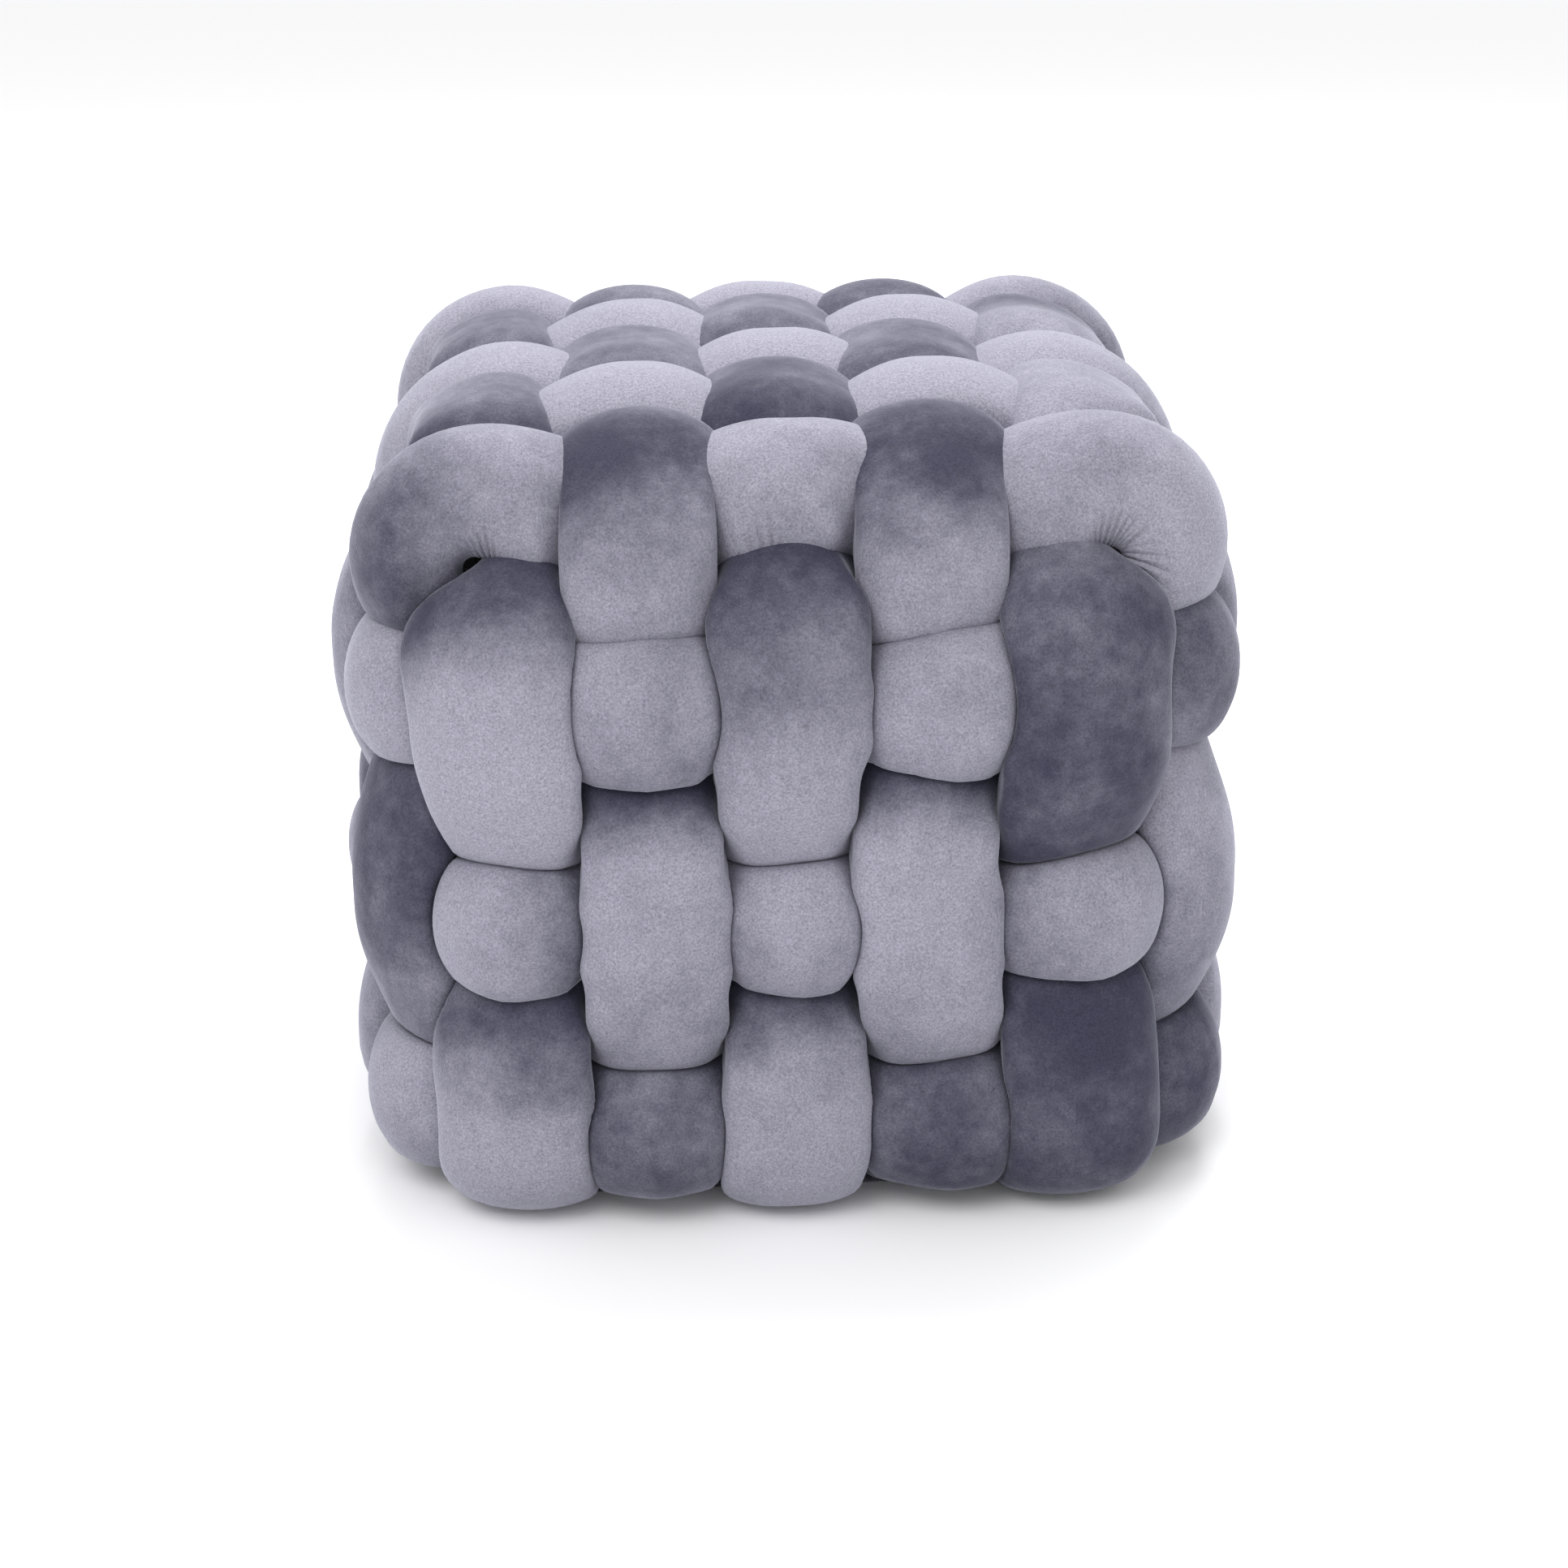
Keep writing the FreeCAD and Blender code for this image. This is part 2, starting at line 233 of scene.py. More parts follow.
class Tube:
    """A tube about a line in a plane, with a sideways offset from that plane and a tilt."""

    def __init__(self, name, plane, line, across, tilt, lift, half_width, seed):
        self.name, self.plane, self.line = name, plane, line
        self.tilt, self.lift, self.half_width = tilt, lift, half_width
        self.closed = plane == "z"
        self.ahead, self.out = directions(line, self.closed)
        self.along = lengths_along(line)
        self.length = self.along[-1] + (STEP if self.closed else 0)
        self.around = self.along / self.length * 2 * math.pi
        turn = np.gradient(np.unwrap(np.arctan2(self.ahead[:, 1], self.ahead[:, 0])))
        self.inward_reach = INWARD * STEP / np.maximum(np.abs(turn), LEAST_TURN)
        self.across = across + WANDER * self.waves(seed)
        self.girth = 1 + UNEVEN * self.waves(seed + 50)
        self.make_grid()

    def waves(self, seed):
        """A smooth random value from about -1 to 1 along the tube."""
        random = np.random.default_rng(seed)
        total = np.zeros(len(self.line))
        for turns in (2, 3, 5, 7, 9, 12):
            total += random.normal() * np.sin(turns * self.around + random.uniform(0, 2 * math.pi))
        return total / 2.5

    def to_space(self, flat, across):
        """Points in space from points in the tube's plane and offsets from it."""
        u, v = flat[..., 0], flat[..., 1]
        order = {"x": (across, u, v), "y": (u, across, v), "z": (u, v, across)}[self.plane]
        return np.stack(order, axis=-1)

    def make_grid(self):
        """Distance from the line, and the facts of its nearest section, on a grid over its plane."""
        count = int(GRID_SPAN / CELL)
        ticks = GRID_START + CELL * np.arange(count)
        gu, gv = np.meshgrid(ticks, ticks, indexing="ij")
        flat = np.stack([gu.ravel(), gv.ravel()], axis=1)
        near = np.empty(len(flat), int)
        for i in range(0, len(flat), CHUNK):
            square = ((flat[i:i + CHUNK, None, :] - self.line[None]) ** 2).sum(-1)
            near[i:i + CHUNK] = square.argmin(1)
        away = flat - self.line[near]
        distance = (away * self.out[near]).sum(1)
        past = np.abs((away * self.ahead[near]).sum(1))
        fields = (distance, self.across[near], self.tilt[near], self.girth[near], self.lift[near], past)
        self.grid = [f.reshape(count, count) for f in fields]

    def look_up(self, u, v):
        """The grid's fields at places in the plane; all but the last vary evenly between points."""
        count = self.grid[0].shape[0]
        fu, fv = (np.clip((c - GRID_START) / CELL, 0, count - 2.001) for c in (u, v))
        iu, iv = fu.astype(int), fv.astype(int)
        tu, tv = fu - iu, fv - iv
        weights = ((1 - tu) * (1 - tv), tu * (1 - tv), (1 - tu) * tv, tu * tv)
        corners = ((iu, iv), (iu + 1, iv), (iu, iv + 1), (iu + 1, iv + 1))
        mixed = [sum(w * g[c] for w, c in zip(weights, corners)) for g in self.grid[:5]]
        return mixed + [self.grid[5][iu, iv]]

    def to_plane(self, points):
        """Places in the tube's plane, and offsets from it, of points in space."""
        x, y, z = points[..., 0], points[..., 1], points[..., 2]
        return {"x": (y, z, x), "y": (x, z, y), "z": (x, y, z)}[self.plane]

    def past_middle(self, tube, points):
        """How far a parallel tube's points lie past the middle between the two, as a share."""
        u, v, w = self.to_plane(points)
        _, across, _, _, lift, _ = self.look_up(u, v)
        own = tube.across[:, None]
        side = np.sign(across - own)
        wall = np.abs(across - own) / 2 + WALL_GAP + WALL_GIVE * np.maximum(0, -lift)
        return ((w - own) * side - wall) / tube.half_width

    def fullness(self, points):
        """1 on the tube's own free surface, less inside it."""
        u, v, w = self.to_plane(points)
        distance, across, tilt, girth, _, past = self.look_up(u, v)
        c, s = np.cos(tilt), np.sin(tilt)
        w = w - across
        outward, sideways = distance * c + w * s, w * c - distance * s
        thick = np.where(outward > 0, THICK_OUT, THICK_IN)
        p = SECTION_POWER
        full = ((np.abs(sideways) / self.half_width) ** p + (np.abs(outward) / thick) ** p) ** (1 / p)
        full = full / girth
        # There is nothing past the ends of a strap.
        return full if self.closed else np.where(past > CELL * 1.2, NOWHERE, full)


def long_straps():
    """The straps that run front to back, left to right."""
    tubes = []
    crossings = tuple(-y for y in CROSS_Y[2::-1])
    for i, (x, x_top) in enumerate(zip(LONG_X, LONG_X_TOP)):
        fall, tilt_side = shoulder(x, HALF_X, UPRIGHT_EDGE)
        drop, tilt_top = shoulder(x_top, HALF_X, SHOULDER_SIDE)
        path = strap((SHOULDER_FRONT, SHOULDER_BACK), LONG_HOLD, i % 2 == 1, HALF_Y - fall,
                     TOP - drop - LONG_LOWER, crossings, (tilt_top, tilt_side), (x_top, x))
        tubes.append(Tube(f"long_strap_{i + 1}", "x", *path, STRAP_HALF_WIDTH, i))
    return tubes


def cross_straps():
    """The straps that run left to right, front to back."""
    tubes = []
    crossings = tuple(-x for x in LONG_X_TOP[2::-1])
    for i, y in enumerate(CROSS_Y):
        fall, tilt_side = shoulder(y, HALF_Y, UPRIGHT_EDGE)
        drop, tilt_top = shoulder(y, HALF_Y, SHOULDER_FRONT if y < 0 else SHOULDER_BACK)
        bend, width = SHOULDER_SIDE, STRAP_HALF_WIDTH
        if i in (0, len(CROSS_Y) - 1):
            bend, width = CROSS_BEND, EDGE_HALF_WIDTH
        path = strap((bend, bend), CROSS_HOLD, i % 2 == 0, HALF_X - fall, TOP - drop, crossings,
                     (tilt_top, tilt_side), (y, y))
        tubes.append(Tube(f"cross_strap_{i + 1}", "y", *path, width, i + 5))
    return tubes


def rings():
    """The rings round the body, from the top down."""
    tubes = []
    for i, (name, z) in enumerate(RING_Z.items()):
        line = ring(name == "middle")
        flat = np.zeros(len(line))
        tubes.append(Tube(f"ring_{name}", "z", line, flat + z, flat, flat, RING_HALF_WIDTH, i + 10))
    return tubes


def blur(field, closed, sigma):
    """A field over a tube's grid, blurred round and along it."""
    reach = int(math.ceil(3 * sigma))
    k = np.exp(-0.5 * (np.arange(-reach, reach + 1) / sigma) ** 2)
    k /= k.sum()
    field = sum(w * np.roll(field, i - reach, 1) for i, w in enumerate(k))
    if closed:
        return sum(w * np.roll(field, i - reach, 0) for i, w in enumerate(k))
    padded = np.pad(field, ((reach, reach), (0, 0)), mode="edge")
    return sum(w * padded[i:i + len(field)] for i, w in enumerate(k))


def ripple(tube):
    """Small smooth unevenness of the stuffing: waves along a tube that also wind round it."""
    random = np.random.default_rng(len(tube.line))
    total = np.zeros((len(tube.line), ROUND))
    for _ in range(14):
        turns = round(tube.along[-1] / random.uniform(45, 130))
        waves = turns * tube.around[:, None] + random.integers(-3, 4) * ANGLES[None, :]
        total += np.sin(waves + random.uniform(0, 2 * math.pi))
    return RIPPLE * total / 4


def free_section(tube):
    """Sideways and outward places round a section that nothing presses on."""
    c, s = np.cos(ANGLES), np.sin(ANGLES)
    p = SECTION_POWER
    reach = 1 / (np.abs(c) ** p + np.abs(s) ** p) ** (1 / p)
    return c * reach * tube.half_width, s * reach * np.where(s > 0, THICK_OUT, THICK_IN)


def section_points(tube, share):
    """Points of the tube's surface, each at a share of its free radius."""
    sideways, outward = free_section(tube)
    c, s = np.cos(tube.tilt)[:, None], np.sin(tube.tilt)[:, None]
    share = share * tube.girth[:, None]
    in_plane = np.maximum((outward * c - sideways * s) * share, -tube.inward_reach[:, None])
    across = tube.across[:, None] + (outward * s + sideways * c) * share
    return tube.to_space(tube.line[:, None, :] + tube.out[:, None, :] * in_plane[..., None], across)


def into_core(points):
    """How far inside the core or the floor a point is; negative outside."""
    reach = np.abs(points) - (np.array([CORE_HALF, CORE_HALF, CORE_TOP]) - CORE_ROUND)
    beyond = np.linalg.norm(np.maximum(reach, 0), axis=-1)
    core = CORE_ROUND - beyond - np.minimum(reach.max(-1), 0)
    z = points[..., 2]
    return np.maximum(np.where(z > CORE_FOOT, core, -NOWHERE), FLOOR_GAP - z)


def pressed(tube, others):
    """The share of its free radius that each point can take before it meets something."""
    shape = (len(tube.line), ROUND)
    limit, found, before = np.ones(shape), np.zeros(shape, bool), np.full(shape, -1.0)
    last = SHARES[0]
    for share in SHARES:
        points = section_points(tube, share)
        excess = into_core(points) / THICK_IN
        for other in others:
            excess = np.maximum(excess, share - other.fullness(points))
            if other.plane == tube.plane != "z":
                excess = np.maximum(excess, other.past_middle(tube, points))
        hit = (excess > 0) & ~found
        part = before / np.minimum(before - excess, -1e-9)
        reached = last + (share - last) * np.clip(part, 0, 1)
        limit[hit] = reached[hit]
        found |= hit
        before, last = excess, share
    return limit


def tube_points(tube, others):
    """The surface of a tube among its neighbours, as a grid of points."""
    limit = pressed(tube, others)
    soft = np.minimum(blur(limit, tube.closed, SOFTEN), limit + TOUCH)
    return section_points(tube, soft * (1 + ripple(tube)))


def mesh_from_grid(name, points, closed):
    """A piece from rings of points, joined end to end or closed with a fan at each end."""
    rows, columns = points.shape[:2]
    vertices = points.reshape(-1, 3) * MM
    index = np.arange(rows * columns).reshape(rows, columns)
    below = np.roll(index, -1, 0) if closed else index[1:]
    here = index if closed else index[:-1]
    quads = np.stack([here, np.roll(here, -1, 1), np.roll(below, -1, 1), below], axis=-1)
    faces = quads.reshape(-1, 4).tolist()
    if not closed:
        ends = np.stack([vertices[index[0]].mean(0), vertices[index[-1]].mean(0)])
        vertices = np.vstack([vertices, ends])
        for row, centre in ((0, rows * columns), (rows - 1, rows * columns + 1)):
            for i in range(columns):
                a, b = int(index[row, i]), int(index[row, (i + 1) % columns])
                faces.append([centre, b, a] if row == 0 else [centre, a, b])
    mesh = bpy.data.meshes.new(name)
    mesh.from_pydata(vertices.tolist(), [], faces)
    mesh.update()
    mesh.polygons.foreach_set("use_smooth", [True] * len(mesh.polygons))
    piece = bpy.data.objects.new(name, mesh)
    scene.collection.objects.link(piece)
    return piece


# Painted sheen and shade of the velvet, 0 dark to 1 light, as pairs of a place and a value: how light
# falls on the pile as it lies, painted into its colour. A strap's places are distances from the middle
# of the top, negative towards the front or the left. A ring's run from the middle of the front by the
# left, for a ring of length PILE_RING.
PILE_RING = 1403.0
PILE_SHEEN_AND_SHADE = {
    "long_strap_1": (
        (-485, 0.9), (-468, 0.8), (-445, 0.4), (-425, 0.05), (-345, 0.95), (-280, 1.05), (-245, 0.8),
        (-222, 0.1), (-150, 0.0), (-80, 0.35), (0, 0.3), (60, 0.35), (100, 0.3), (200, 0.2), (300, 0.8),
        (400, 0.2), (480, 0.8)),
    "long_strap_2": (
        (-480, 0.6), (-400, 0.9), (-365, 0.85), (-335, 0.1), (-300, 0.2), (-262, 0.95), (-228, 0.75),
        (-205, 0.5), (-180, 0.15), (-150, 0.25), (-110, 0.45), (-60, 0.3), (0, 0.4), (80, 0.3), (150, 0.3),
        (200, 0.2), (300, 0.7), (400, 0.2), (480, 0.8)),
    "long_strap_3": (
        (-485, 0.9), (-468, 0.8), (-447, 0.35), (-425, 0.0), (-360, 0.9), (-285, 0.85), (-250, 0.55),
        (-220, 0.1), (-140, 0.0), (-60, 0.25), (0, 0.35), (80, 0.3), (200, 0.2), (300, 0.9), (400, 0.2),
        (480, 0.7)),
    "long_strap_4": (
        (-480, 0.5), (-400, 0.9), (-362, 0.8), (-330, 0.05), (-300, 0.25), (-260, 0.95), (-225, 0.85),
        (-200, 0.3), (-175, 0.0), (-140, 0.15), (-110, 0.35), (-60, 0.3), (0, 0.35), (80, 0.3), (200, 0.2),
        (330, 0.8), (420, 0.1), (480, 0.6)),
    "long_strap_5": (
        (-485, 0.15), (-440, 0.0), (-420, 0.15), (-350, 0.1), (-250, 0.15), (-215, 0.25), (-185, 0.6),
        (-165, 0.9), (-120, 0.8), (-80, 0.75), (0, 0.85), (60, 0.8), (100, 0.3), (200, 0.6), (300, 0.9),
        (400, 0.3), (480, 0.7)),
    "cross_strap_1": (
        (-480, 0.2), (-420, 0.4), (-370, 0.05), (-300, 0.1), (-250, 0.2), (-200, 0.35), (-170, 0.45),
        (-145, 0.8), (-90, 0.95), (0, 0.75), (90, 0.75), (150, 0.75), (190, 1.0), (250, 0.85), (330, 0.7),
        (480, 0.3)),
    "cross_strap_2": (
        (-480, 0.6), (-330, 0.8), (-220, 0.3), (-150, 0.7), (-120, 0.95), (0, 1.05), (120, 1.0),
        (200, 0.8), (260, 0.5), (330, 0.2), (480, 0.7)),
    "cross_strap_3": (
        (-480, 0.3), (-330, 0.2), (-220, 0.7), (-150, 0.9), (0, 1.05), (150, 1.0), (220, 0.6), (330, 0.9),
        (480, 0.3)),
    "cross_strap_4": (
        (-480, 0.7), (-330, 0.9), (-220, 0.4), (-150, 0.9), (0, 1.0), (150, 1.0), (220, 0.8), (330, 0.3),
        (480, 0.8)),
    "cross_strap_5": (
        (-480, 0.3), (-330, 0.3), (-220, 0.8), (-150, 0.9), (0, 1.0), (150, 0.9), (220, 0.3), (330, 0.8),
        (480, 0.2)),
    "ring_top": (
        (0, 0.7), (45, 0.5), (54, 0.8), (100, 0.75), (150, 0.7), (205, 0.95), (235, 0.4), (300, 0.7),
        (420, 0.3), (600, 0.8), (800, 0.4), (1000, 0.8), (1130, 0.4), (1175, 0.25), (1235, 0.35),
        (1275, 0.85), (1330, 0.8), (1390, 0.75)),
    "ring_middle": (
        (0, 0.75), (60, 0.6), (95, 0.1), (118, 0.4), (136, 0.65), (170, 0.8), (240, 0.6), (320, 0.5),
        (500, 0.2), (700, 0.8), (900, 0.3), (1100, 0.7), (1190, 0.8), (1250, 0.75), (1300, 0.6),
        (1380, 0.7)),
    "ring_bottom": (
        (0, 0.5), (50, 0.45), (75, 0.5), (100, 0.3), (160, 0.6), (195, 0.9), (230, 0.3), (300, 0.7),
        (500, 0.3), (700, 0.8), (900, 0.3), (1100, 0.2), (1170, 0.1), (1250, 0.15), (1300, 0.2),
        (1340, 0.15), (1372, 0.25), (1395, 0.5)),
}

# Puckers: tube, place along it and angle round it, reach along and round, creases in a reach along
# and round, and depth.
PUCKERS = (
    ("cross_strap_1", 160, 3.4, 13, 0.6, 2.6, 0.5, 1.0),
    ("cross_strap_1", -156, 3.4, 10, 0.5, 1.8, -0.5, 0.8),
    ("cross_strap_1", -98, 2.0, 22, 0.4, 0.3, 1.6, 0.6),
    ("cross_strap_1", -22, 3.0, 12, 0.5, 1.6, 0.3, 0.6),
    ("cross_strap_1", 215, 3.2, 22, 0.6, 2.5, 0.6, 0.6),
    ("cross_strap_5", 150, -0.2, 20, 0.9, 4.0, 0.4, 0.9),
    ("cross_strap_5", -150, -0.2, 18, 0.9, 3.0, 0.4, 0.9),
    ("long_strap_1", -175, 1.2, 16, 0.9, 0.3, 2.6, 0.6),
    ("long_strap_3", -170, 1.8, 16, 0.9, 0.3, 2.6, 0.7),
    ("long_strap_5", -172, 1.2, 14, 0.9, 0.3, 2.6, 0.6),
    ("long_strap_1", -30, 1.5, 26, 0.7, 0.2, 3.0, 0.6),
    ("ring_middle", 120, 1.4, 14, 0.9, 0.3, 2.6, 0.5),
    ("ring_top", 35, 1.4, 12, 0.9, 0.3, 2.6, 0.5),
    ("ring_middle", 1205, 1.8, 40, 0.8, 4.0, 0.8, 0.8),
    ("ring_middle", 215, 1.8, 40, 0.8, 3.0, 0.8, 0.7),
)


def painted_pile_sheen(tube):
    """The painted sheen and shade of the pile at each section of a tube."""
    keys = PILE_SHEEN_AND_SHADE[tube.name]
    places, tones = [k[0] for k in keys], [k[1] for k in keys]
    if tube.closed:
        share = tube.length / PILE_RING
        return np.interp(tube.along / share, places + [PILE_RING], tones + [tones[0]])
    return np.interp(tube.along - tube.length / 2, places, tones)


def puckers(tube):
    """Depth of the fine creases over a tube's surface, 0 where there are none, and their phase."""
    middle = 0 if tube.closed else tube.length / 2
    place = (tube.along - middle)[:, None]
    depths, phase = np.zeros((len(tube.line), ROUND)), np.zeros((len(tube.line), ROUND))
    for name, centre, turn, reach, wide, creases_along, creases_round, depth in PUCKERS:
        if name != tube.name:
            continue
        along = (place - centre) / reach
        across = ((ANGLES[None, :] - turn + math.pi) % (2 * math.pi) - math.pi) / wide
        here = depth * np.exp(-along ** 2 - across ** 2)
        creases = creases_along * along + creases_round * across
        phase = np.where(here > depths, 2 * math.pi * creases, phase)
        depths = np.maximum(depths, here)
    return depths, phase


def paint(piece, name, rows):
    """Stores one value for each point of a tube's grid, and the first for the end caps."""
    values = rows.ravel()
    count = len(piece.data.vertices)
    values = np.concatenate([values, np.full(count - len(values), values[0])])
    layer = piece.data.attributes.new(name, "FLOAT", "POINT")
    layer.data.foreach_set("value", values.astype(np.float32))


class Nodes:
    """A material and short calls to add nodes to it."""

    def __init__(self, name):
        self.material = bpy.data.materials.new(name)
        self.material.use_nodes = True
        self.tree = self.material.node_tree
        self.tree.nodes.clear()
        self.shader = self.add("ShaderNodeBsdfPrincipled")
        out = self.add("ShaderNodeOutputMaterial")
        self.tree.links.new(self.shader.outputs[0], out.inputs["Surface"])
        self.place = self.add("ShaderNodeTexCoord").outputs["Object"]

    def add(self, kind, **settings):
        """A new node of a kind."""
        node = self.tree.nodes.new(kind)
        for key, value in settings.items():
            setattr(node, key, value)
        return node

    def link(self, source, target):
        """Feeds a socket with a number or with another node's output."""
        if isinstance(source, (int, float)):
            target.default_value = source
        else:
            self.tree.links.new(source, target)

    def maths(self, operation, a, b=0.0):
        node = self.add("ShaderNodeMath", operation=operation)
        self.link(a, node.inputs[0])
        self.link(b, node.inputs[1])
        return node.outputs[0]

    def noise(self, scale, detail=2.0, rough=0.5):
        """Noise from 0 to 1, with this many waves to the metre."""
        node = self.add("ShaderNodeTexNoise")
        node.inputs["Scale"].default_value = scale
        node.inputs["Detail"].default_value = detail
        node.inputs["Roughness"].default_value = rough
        self.link(self.place, node.inputs["Vector"])
        return node.outputs["Fac"]

    def stretch(self, value, low, high):
        """A ramp from 0 at the low value to 1 at the high one, eased at both ends."""
        node = self.add("ShaderNodeMapRange", interpolation_type="SMOOTHSTEP")
        self.link(value, node.inputs["Value"])
        node.inputs["From Min"].default_value = low
        node.inputs["From Max"].default_value = high
        return node.outputs["Result"]

    def mix(self, factor, dark, light):
        """A colour between two."""
        node = self.add("ShaderNodeMix", data_type="RGBA")
        self.link(factor, node.inputs["Factor"])
        node.inputs["A"].default_value = (*dark, 1)
        node.inputs["B"].default_value = (*light, 1)
        return node.outputs["Result"]

    def bump(self, height, distance, strength, under=None):
        """A normal from a height, in metres, on top of another relief."""
        node = self.add("ShaderNodeBump")
        node.inputs["Strength"].default_value = strength
        node.inputs["Distance"].default_value = distance
        self.link(height, node.inputs["Height"])
        if under is not None:
            self.link(under, node.inputs["Normal"])
        return node.outputs["Normal"]


# The velvet's shaded and lit colours, between which the painted sheen and shade picks.
PILE_SHADED, PILE_LIT = (0.036, 0.036, 0.062), (0.285, 0.277, 0.335)


def velvet_material():
    """Short pile with painted sheen and shade from how light falls on it as it lies, and fine creases."""
    m = Nodes("velvet")
    tone, depth, phase = (
        m.add("ShaderNodeAttribute", attribute_name=name).outputs["Fac"]
        for name in ("painted_pile_sheen", "pucker_depth", "pucker_phase")
    )
    broad = m.maths("SUBTRACT", m.noise(9.0, detail=3.0), 0.5)
    patchy = m.maths("SUBTRACT", m.noise(34.0, detail=4.0, rough=0.65), 0.5)
    brushed = m.maths("SUBTRACT", m.noise(130.0, detail=3.0, rough=0.6), 0.5)
    mottled = m.maths("ADD", m.maths("MULTIPLY", broad, 0.9), m.maths("MULTIPLY", patchy, 0.6))
    mottled = m.maths("ADD", mottled, m.maths("MULTIPLY", brushed, 0.3))
    # Painted sheen and shade, broken up by random mottling, picks the colour between shaded and lit.
    sheen_and_mottling = m.stretch(m.maths("ADD", tone, mottled), -0.05, 1.05)
    grain = m.noise(900.0, rough=0.75)
    speckle = m.maths("ADD", m.maths("MULTIPLY", grain, 1.5), 0.24)
    coloured = m.add("ShaderNodeVectorMath", operation="SCALE")
    m.link(m.mix(sheen_and_mottling, PILE_SHADED, PILE_LIT), coloured.inputs[0])
    m.link(speckle, coloured.inputs["Scale"])
    m.link(coloured.outputs[0], m.shader.inputs["Base Color"])
    crease = m.maths("ABSOLUTE", m.maths("SINE", m.maths("MULTIPLY", phase, 0.5)))
    folds = m.bump(m.maths("MULTIPLY", crease, depth), distance=0.004, strength=0.8)
    dents = m.bump(m.noise(28.0), distance=0.004, strength=0.5, under=folds)
    tufts = m.bump(grain, distance=0.0006, strength=0.5, under=dents)
    m.link(tufts, m.shader.inputs["Normal"])
    m.shader.inputs["Roughness"].default_value = 0.85
    m.shader.inputs["Specular IOR Level"].default_value = 0.2
    m.shader.inputs["Sheen Weight"].default_value = 0.45
    m.shader.inputs["Sheen Roughness"].default_value = 0.3
    m.shader.inputs["Sheen Tint"].default_value = (0.85, 0.86, 1.0, 1)
    return m.material


WAVE_SCALE = 0.314    # the wave node's scale at which a band repeats every metre


def woven_material(name, dark, light, pitch, roughness, depth):
    """Plain weave: two crossed sets of threads, with uneven colour. Pitch and depth are in metres."""
    m = Nodes(name)
    waves = []
    for axis in ("X", "Y", "Z"):
        wave = m.add("ShaderNodeTexWave", wave_type="BANDS", bands_direction=axis)
        wave.inputs["Scale"].default_value = WAVE_SCALE / pitch
        wave.inputs["Distortion"].default_value = 0.6
        wave.inputs["Detail"].default_value = 1.0
        m.link(m.place, wave.inputs["Vector"])
        waves.append(wave.outputs["Fac"])
    across, up = m.maths("MAXIMUM", waves[0], waves[1]), m.maths("MAXIMUM", waves[1], waves[2])
    threads = m.maths("MULTIPLY", across, up)
    stain = m.maths("MULTIPLY", m.noise(40.0, detail=3.0), 0.6)
    uneven = m.maths("ADD", stain, m.maths("MULTIPLY", threads, 0.5))
    m.link(m.mix(m.stretch(uneven, 0.2, 0.85), dark, light), m.shader.inputs["Base Color"])
    m.link(m.bump(threads, depth, strength=0.6), m.shader.inputs["Normal"])
    m.shader.inputs["Roughness"].default_value = roughness
    m.shader.inputs["Specular IOR Level"].default_value = 0.3
    m.shader.inputs["Sheen Weight"].default_value = 0.1
    return m.material


def thread_material(name, dark, light):
    """Twisted thread."""
    m = Nodes(name)
    twist = m.noise(1400.0)
    m.link(m.mix(m.stretch(twist, 0.3, 0.7), dark, light), m.shader.inputs["Base Color"])
    m.link(m.bump(twist, distance=0.0003, strength=0.5), m.shader.inputs["Normal"])
    m.shader.inputs["Roughness"].default_value = 0.6
    return m.material


def rounded_square(half, radius, count):
    """Points round a square with rounded corners, evenly spaced."""
    corners = [(half, 0), (half, half), (-half, half), (-half, -half), (half, -half), (half, 0)]
    line = rounded(corners, [0, radius, radius, radius, radius, 0], 0.5)
    return points_at(line, np.linspace(0, lengths_along(line)[-1], count, endpoint=False))


def turned_square(name, rows, count):
    """A closed piece from rounded squares, each given as half size, corner radius and height."""
    layers = []
    for half, radius, z in rows:
        square = rounded_square(half, radius, count)
        layers.append(np.concatenate([square, np.full((count, 1), z)], axis=1))
    return mesh_from_grid(name, np.array(layers), False)


def core_rows():
    """The core's layers from its foot up, the top edges rounded by the straps."""
    foot = [(2, 1, 3.8), (100, 10, 3.8), (156, 14, 4.5), (158, 15, 8), (158, 15, 40), (163, 30, 43)]
    side = [(CORE_HALF - 5, 55, 46), (CORE_HALF - LINING_GAP, 65, 54)]
    edge = []
    for t in np.radians(np.linspace(0, 90, 13)):
        inset = CORE_ROUND * (1 - math.cos(t))
        height = CORE_TOP - CORE_ROUND * (1 - math.sin(t))
        edge.append((CORE_HALF - LINING_GAP - inset, max(66 - inset * 0.9, 4), height - LINING_GAP))
    top = [(60, 3, CORE_TOP - LINING_GAP), (2, 1, CORE_TOP - LINING_GAP)]
    return foot + side + edge + top


def panel_rows():
    """The base panel's layers: out over the top, round the folded hem and back in underneath."""
    over = [(2, 1, 2.0), (90, 25, 2.1), (168, 46, 2.1), (179, 56, 2.2)]
    fold = [(180.5, 58, 1.5), (180, 57, 0.4), (179, 56, 0.0), (172, 49, 0.0), (169.5, 46, 0.3)]
    under = [(168.5, 45, 0.9), (120, 30, 1.0), (60, 15, 1.1), (2, 1, 1.1)]
    return over + fold + under


# The thirteen tubes.
velvet = velvet_material()
tubes = long_straps() + cross_straps() + rings()
for tube in tubes:
    points = tube_points(tube, [t for t in tubes if t is not tube])
    piece = mesh_from_grid(tube.name, points, tube.closed)
    # Painted sheen and shade of the pile, one value for each section, stored on the points.
    paint(piece, "painted_pile_sheen", np.repeat(painted_pile_sheen(tube)[:, None], ROUND, axis=1))
    depths, phase = puckers(tube)
    paint(piece, "pucker_depth", depths)
    paint(piece, "pucker_phase", phase)
    piece.data.materials.append(velvet)
    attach(piece, "root")
    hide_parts(tube.name + "_cover", tube.name + "_filling")

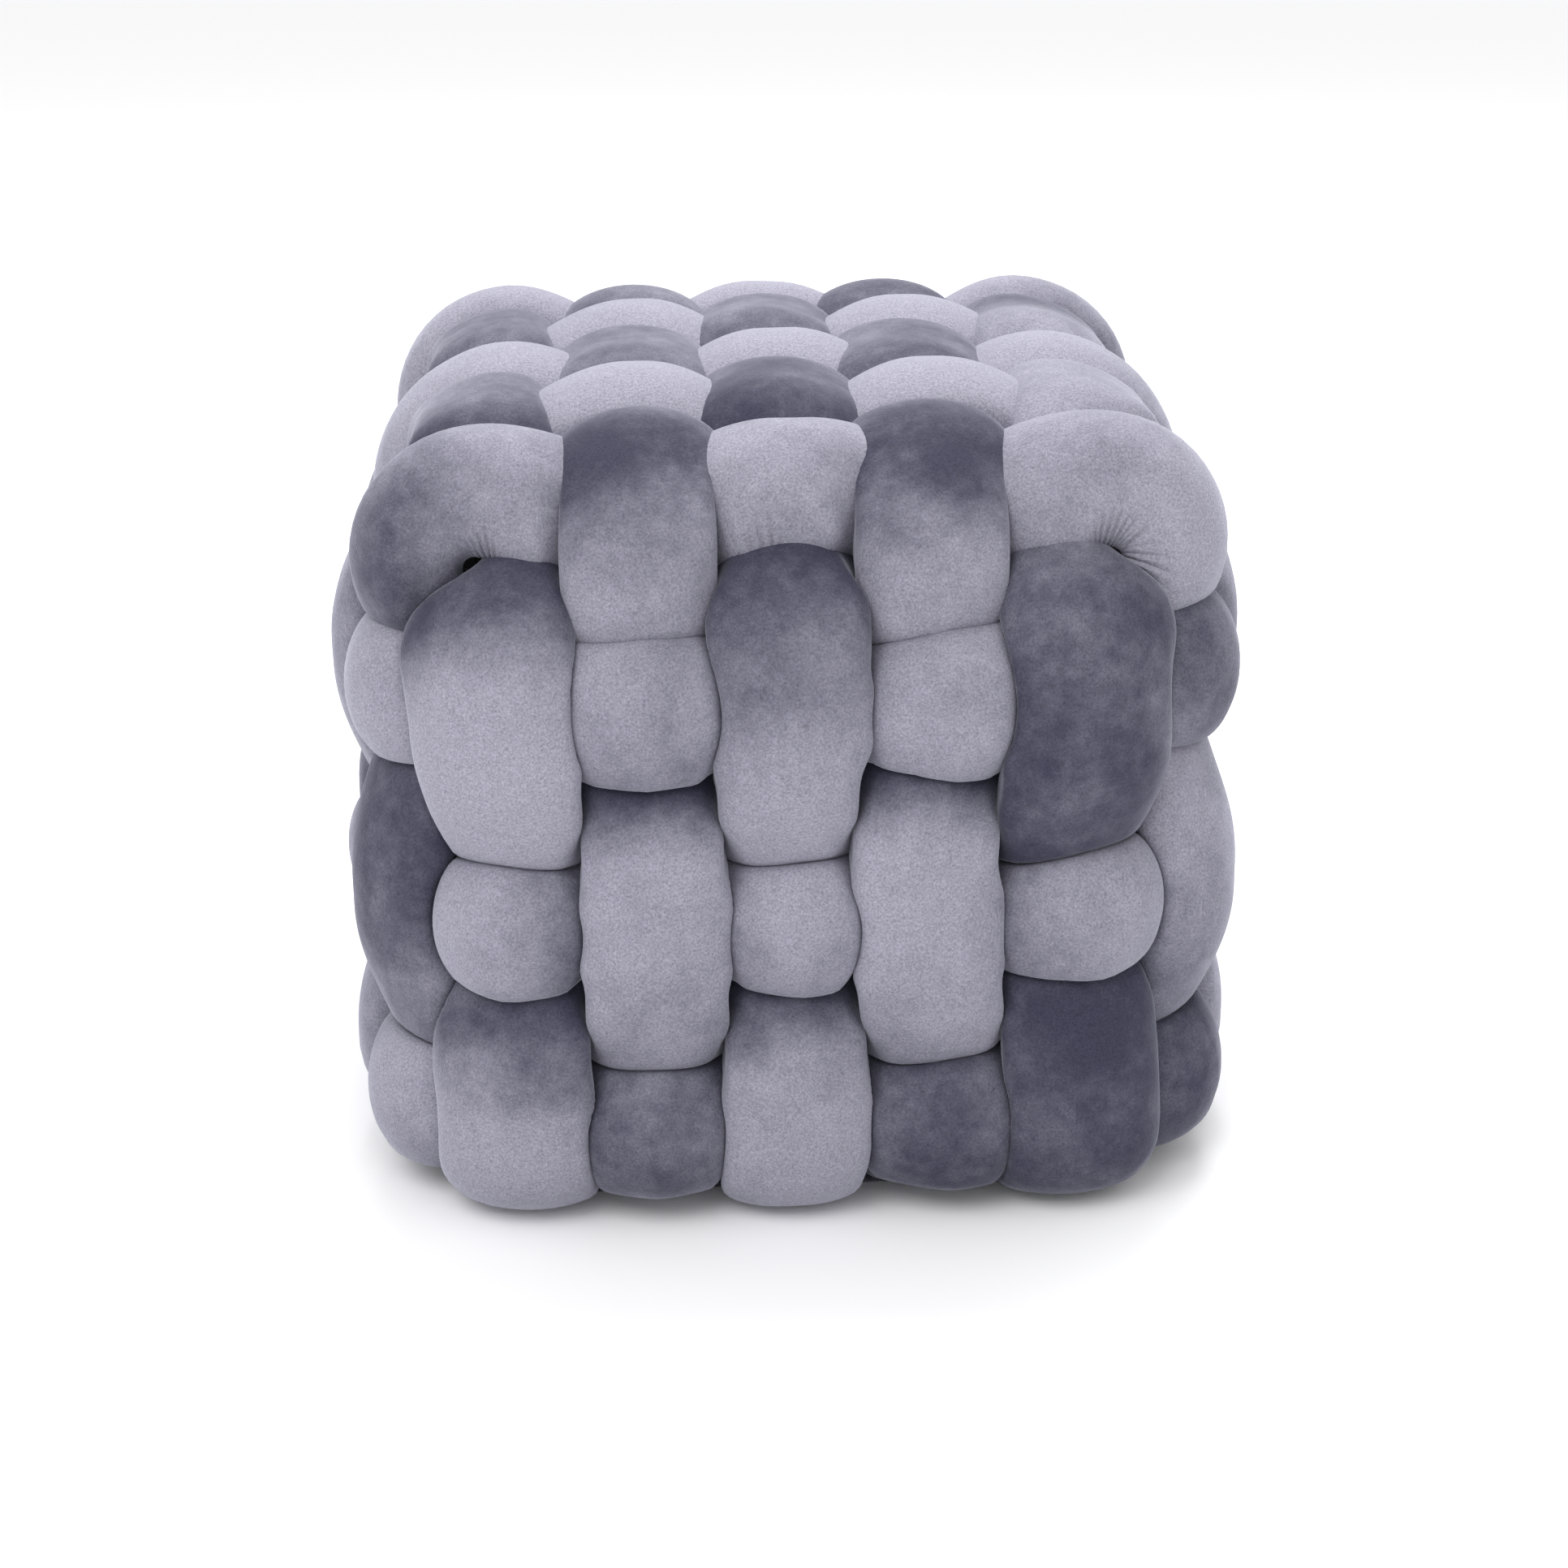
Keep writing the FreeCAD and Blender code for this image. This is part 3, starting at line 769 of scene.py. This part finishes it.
# The lined core.
core = turned_square("core_lining_sewn", core_rows(), 160)
lining = woven_material("lining_weave", (0.03, 0.03, 0.04), (0.09, 0.09, 0.11), 0.0012, 0.8, 0.0004)
core.data.materials.append(lining)
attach(core, "root")
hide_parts("core_foam", "core_lining")

# The base panel with its hem.
panel = turned_square("base_panel_hemmed", panel_rows(), 200)
canvas = woven_material("canvas_weave", (0.035, 0.035, 0.045), (0.13, 0.13, 0.155), 0.0018, 0.85, 0.0006)
panel.data.materials.append(canvas)
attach(panel, "root")
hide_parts("base_panel")

# The stitches keep their CAD shapes.
thread = thread_material("twisted_thread", (0.16, 0.16, 0.19), (0.42, 0.42, 0.47))
for name in ("base_stitches", "strap_end_stitches", "ring_join_stitches"):
    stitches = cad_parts[name].data
    stitches.materials.clear()
    stitches.materials.append(thread)


def add_floor():
    """A pale floor under the whole view."""
    mesh = bpy.data.meshes.new("floor")
    mesh.from_pydata([(-5, -5, 0), (5, -5, 0), (5, 8, 0), (-5, 8, 0)], [], [(0, 1, 2, 3)])
    pale = Nodes("pale_floor")
    pale.shader.inputs["Base Color"].default_value = (0.93, 0.93, 0.94, 1)
    pale.shader.inputs["Roughness"].default_value = 0.9
    mesh.materials.append(pale.material)
    floor = bpy.data.objects.new("floor", mesh)
    scene.collection.objects.link(floor)


def add_world():
    """Even white light from all round."""
    world = bpy.data.worlds.new("studio")
    world.use_nodes = True
    background = world.node_tree.nodes["Background"]
    background.inputs["Color"].default_value = (1, 1, 1, 1)
    background.inputs["Strength"].default_value = 1.0
    scene.world = world


def add_light(name, place, size, power):
    """A square lamp that faces the middle of the cushion."""
    light = bpy.data.lights.new(name, "AREA")
    light.shape, light.size, light.energy = "SQUARE", size, power
    lamp = bpy.data.objects.new(name, light)
    lamp.location = place
    lamp.rotation_mode = "QUATERNION"
    lamp.rotation_quaternion = (Vector(place) - Vector((0, 0, 0.2))).to_track_quat("Z", "Y")
    scene.collection.objects.link(lamp)


# The camera looks at a point from an angle round it and above it, rolled a little.
LOOK_AT = Vector((0.0015, 0, 0.1490))
AZIMUTH, ELEVATION, ROLL = math.radians(-2.69), math.radians(20.25), math.radians(-0.70)
DISTANCE, LENS = 1.618, 68.4


def add_camera():
    """The camera that the picture is taken from."""
    camera = bpy.data.objects.new("camera", bpy.data.cameras.new("camera"))
    camera.data.lens, camera.data.sensor_width = LENS, 36
    level = math.cos(ELEVATION)
    back = Vector((math.sin(AZIMUTH) * level, -math.cos(AZIMUTH) * level, math.sin(ELEVATION)))
    camera.location = LOOK_AT + back * DISTANCE
    camera.rotation_mode = "QUATERNION"
    aim = (-back).to_track_quat("-Z", "Y")
    camera.rotation_quaternion = aim @ Matrix.Rotation(ROLL, 4, "Z").to_quaternion()
    scene.collection.objects.link(camera)
    scene.camera = camera


add_floor()
add_world()
add_light("key", (-0.9, -1.6, 2.4), 1.6, 30)
add_light("top", (0.3, 1.2, 2.3), 1.6, 56)
add_camera()
scene.view_settings.view_transform = "Standard"
